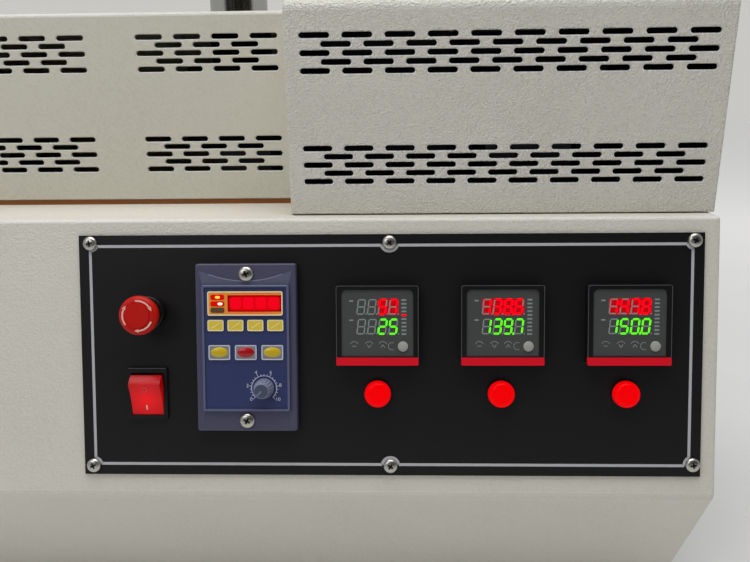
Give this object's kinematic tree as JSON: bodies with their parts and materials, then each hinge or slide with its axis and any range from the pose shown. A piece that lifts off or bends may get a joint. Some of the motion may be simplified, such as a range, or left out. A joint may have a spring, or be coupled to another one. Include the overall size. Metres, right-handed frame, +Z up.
{
  "type": "desktop filament extruder",
  "caption": "Bench-top single-screw extruder: a console cabinet with a leaning control plate, slotted covers over its drive and barrel, a hopper and a round die.",
  "frame": {"origin": "on the floor, under the middle of the machine's outer box", "axes": "+Z up, +X along the screw from the die towards the motor, +Y from the control plate to the back"},
  "size_m": [0.5842, 0.2891, 0.6105],
  "materials": {
    "off_white_coat": "satin",
    "black_plate": "satin",
    "black_plastic": "matte",
    "dark_grey_plastic": "matte",
    "grey_plastic": "matte",
    "slate_plastic": "matte",
    "blue_film": "satin",
    "orange_plastic": "satin",
    "dark_red_window": "gloss",
    "yellow_film": "satin",
    "red_plastic": "satin",
    "lit_red_lens": "gloss",
    "screen": "gloss",
    "chromed_steel": "polished",
    "stainless": "brushed",
    "machined_steel": "machined",
    "brass": "machined",
    "insulation_board": "matte",
    "aluminium": "satin",
    "grey_paint": "satin",
    "rubber": "matte"
  },
  "bodies": {
    "machine": {"barrel": "machined_steel", "barrel_controller_case": "dark_grey_plastic", "barrel_controller_screen": "screen", "barrel_controller_strip": "red_plastic", "barrel_cover": "off_white_coat", "barrel_lamp": "lit_red_lens", "bottom_plate": "off_white_coat", "cabinet_shell": "off_white_coat", "control_plate": "black_plate", "die_controller_case": "dark_grey_plastic", "die_controller_screen": "screen", "die_controller_strip": "red_plastic", "die_head": "machined_steel", "die_lamp": "lit_red_lens", "drive_cover": "off_white_coat", "feed_block": "machined_steel", "feed_controller_case": "dark_grey_plastic", "feed_controller_screen": "screen", "feed_controller_strip": "red_plastic", "feed_lamp": "lit_red_lens", "feed_screw": "machined_steel", "gearbox": "grey_paint", "heater_bands": "stainless", "hopper_cone": "stainless", "hopper_neck": "stainless", "hopper_side": "stainless", "insulation_plate": "insulation_board", "lamp_bezels": "black_plastic", "motor": "grey_paint", "nozzle": "brass", "power_inlet": "black_plastic", "rubber_feet": "rubber", "speed_controller_body": "slate_plastic", "speed_controller_keys": "yellow_film", "speed_controller_label": "blue_film", "speed_display_bezel": "orange_plastic", "speed_display_window": "dark_red_window", "stop_collar": "black_plastic", "support_blocks": "aluminium", "switch_housing": "black_plastic", "thrust_spacer": "aluminium"},
    "stop_stem": {"stop_stem": "chromed_steel"},
    "stop_head": {"stop_head": "red_plastic"},
    "power_rocker": {"power_rocker": "lit_red_lens"},
    "speed_knob": {"speed_knob": "grey_plastic"}
  },
  "joints": [
    {"name": "stop_press", "type": "slide", "parent": "machine", "child": "stop_stem", "axis": [0, 0.9744, -0.225], "range_m": [0, 0.004]},
    {"name": "stop_twist", "type": "hinge", "parent": "stop_stem", "child": "stop_head", "pos_m": [-0.05525, -0.1281, 0.23746], "axis": [0, -0.9744, 0.225], "range_deg": [-45, 0], "stiffness_Nm_per_rad": 0.002},
    {"name": "power_rocker", "type": "hinge", "parent": "machine", "child": "power_rocker", "pos_m": [-0.05705, -0.12439, 0.18509], "axis": [1, 0, 0], "range_deg": [-38, 0]},
    {"name": "speed_knob", "type": "hinge", "parent": "machine", "child": "speed_knob", "pos_m": [0.01635, -0.1348, 0.19242], "axis": [0, -0.9744, 0.225], "range_deg": [-280, 0]}
  ]
}
